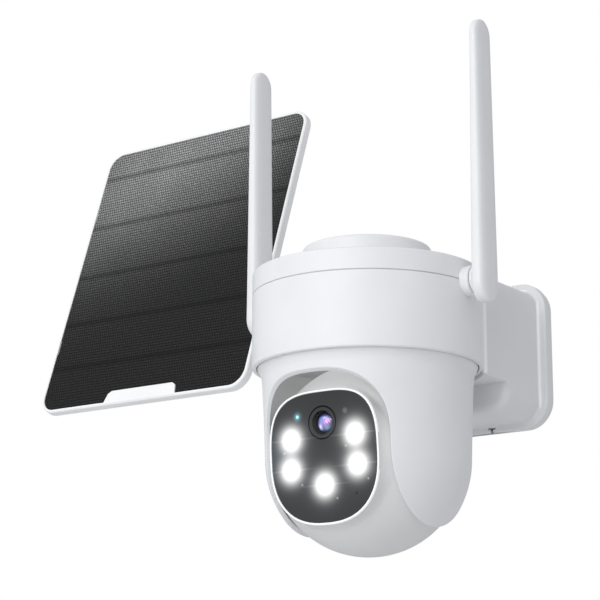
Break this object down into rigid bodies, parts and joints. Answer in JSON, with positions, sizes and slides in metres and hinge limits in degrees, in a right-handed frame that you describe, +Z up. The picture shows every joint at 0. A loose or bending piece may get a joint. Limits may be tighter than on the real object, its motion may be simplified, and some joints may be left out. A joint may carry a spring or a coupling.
{
  "type": "solar-powered pan and tilt security camera",
  "caption": "Wall-mounted pan and tilt security camera with flood lights behind its window, hinged antennas, a hollow bracket, and a tilting solar panel on its own foot joined by a cable.",
  "frame": {"origin": "centre of the camera bracket's wall face", "axes": "+Y into the wall, -Y out along the camera's view, +Z up, +X to the right for a viewer facing the camera"},
  "size_m": [0.3011, 0.1515, 0.2579],
  "materials": {
    "white_plastic": "satin moulded",
    "dark_plastic": "matt moulded",
    "black_rubber": "matt",
    "tinted_glass": "gloss",
    "circuit_board": "satin",
    "steel": "satin",
    "motor_can": "satin",
    "battery_wrap": "gloss",
    "led_phosphor": "satin",
    "solar_cells": "fine matt texture"
  },
  "bodies": {
    "mount": {"drum_shell": "white_plastic", "drum_cover": "white_plastic", "top_cap": "white_plastic", "cover_seal": "black_rubber", "cover_screw_1": "steel", "cover_screw_2": "steel", "main_board": "circuit_board", "speaker": "dark_plastic", "pan_motor": "motor_can", "pan_bearing": "dark_plastic", "bracket_arm": "white_plastic", "wall_plate": "white_plastic", "wall_screw_1": "steel", "wall_screw_2": "steel", "bracket_lock_screw": "steel", "battery_tray": "dark_plastic", "battery_cell_lower": "battery_wrap", "battery_cell_upper": "battery_wrap", "charge_socket": "dark_plastic", "charge_plug": "black_rubber", "charge_cable": "black_rubber", "antenna_boss_left": "white_plastic", "antenna_boss_right": "white_plastic", "panel_wall_base": "white_plastic", "panel_base_screw_1": "steel", "panel_base_screw_2": "steel", "panel_yaw_bolt": "steel"},
    "pan_head": {"yoke_shell": "white_plastic", "turntable": "white_plastic", "pan_gear": "dark_plastic", "tilt_axle_left": "steel", "tilt_axle_right": "steel", "tilt_gear": "dark_plastic"},
    "pan_pinion": {"pan_pinion": "dark_plastic"},
    "ball": {"ball_front_shell": "white_plastic", "ball_rear_shell": "white_plastic", "window_glass": "tinted_glass", "light_mask": "dark_plastic", "led_board": "circuit_board", "flood_led_1": "led_phosphor", "flood_led_2": "led_phosphor", "flood_led_3": "led_phosphor", "flood_led_4": "led_phosphor", "flood_led_5": "led_phosphor", "lens_barrel": "dark_plastic", "lens_glass": "tinted_glass", "sensor_board": "circuit_board", "tilt_motor": "motor_can"},
    "tilt_pinion": {"tilt_pinion": "dark_plastic"},
    "antenna_left": {"antenna_left": "white_plastic"},
    "antenna_right": {"antenna_right": "white_plastic"},
    "power_button": {"power_button": "dark_plastic"},
    "reset_button": {"reset_button": "dark_plastic"},
    "service_flap": {"service_flap": "black_rubber"},
    "panel_arm": {"panel_swivel_arm": "white_plastic", "panel_tilt_bolt": "steel"},
    "panel": {"panel_frame": "white_plastic", "panel_laminate": "solar_cells", "panel_back_cover": "white_plastic", "panel_junction_box": "dark_plastic"}
  },
  "joints": [
    {"name": "pan", "type": "hinge", "parent": "mount", "child": "pan_head", "pos_m": [0, -0.0955, -0.0615], "axis": [0, 0, 1], "range_deg": [-175, 175]},
    {"name": "pan_pinion_spin", "type": "hinge", "parent": "mount", "child": "pan_pinion", "pos_m": [0.03, -0.0955, -0.0014], "axis": [0, 0, 1], "range_deg": [-720, 720]},
    {"name": "tilt", "type": "hinge", "parent": "pan_head", "child": "ball", "pos_m": [0, -0.0955, -0.0615], "axis": [1, 0, 0], "range_deg": [-19.4, 85.6]},
    {"name": "tilt_pinion_spin", "type": "hinge", "parent": "ball", "child": "tilt_pinion", "pos_m": [0.029, -0.08204, -0.07683], "axis": [1, 0, 0], "range_deg": [-60, 220]},
    {"name": "antenna_left_hinge", "type": "hinge", "parent": "mount", "child": "antenna_left", "pos_m": [-0.0656, -0.0945, 0.0185], "axis": [1, 0, 0], "range_deg": [-30, 180]},
    {"name": "antenna_right_hinge", "type": "hinge", "parent": "mount", "child": "antenna_right", "pos_m": [0.0656, -0.0945, 0.0185], "axis": [1, 0, 0], "range_deg": [-30, 180]},
    {"name": "power_button_press", "type": "slide", "parent": "mount", "child": "power_button", "axis": [0, 0, 1], "range_m": [0, 0.001]},
    {"name": "reset_button_press", "type": "slide", "parent": "mount", "child": "reset_button", "axis": [0, 0, 1], "range_m": [0, 0.001]},
    {"name": "service_flap_hinge", "type": "hinge", "parent": "mount", "child": "service_flap", "pos_m": [-0.018, -0.0175, -0.0339], "axis": [1, 0, 0], "range_deg": [0, 100]},
    {"name": "panel_yaw", "type": "hinge", "parent": "mount", "child": "panel_arm", "pos_m": [-0.15081, -0.014, 0.06182], "axis": [0.0183, 0, 0.9998], "range_deg": [-12, 4]},
    {"name": "panel_tilt", "type": "hinge", "parent": "panel_arm", "child": "panel", "pos_m": [-0.15243, -0.03645, 0.06185], "axis": [0.9972, -0.072, -0.0183], "range_deg": [-8, 30]}
  ],
  "couplings": [
    {"joint": "pan_pinion_spin", "follows": "pan", "ratio": -4},
    {"joint": "tilt_pinion_spin", "follows": "tilt", "ratio": 2.4}
  ]
}
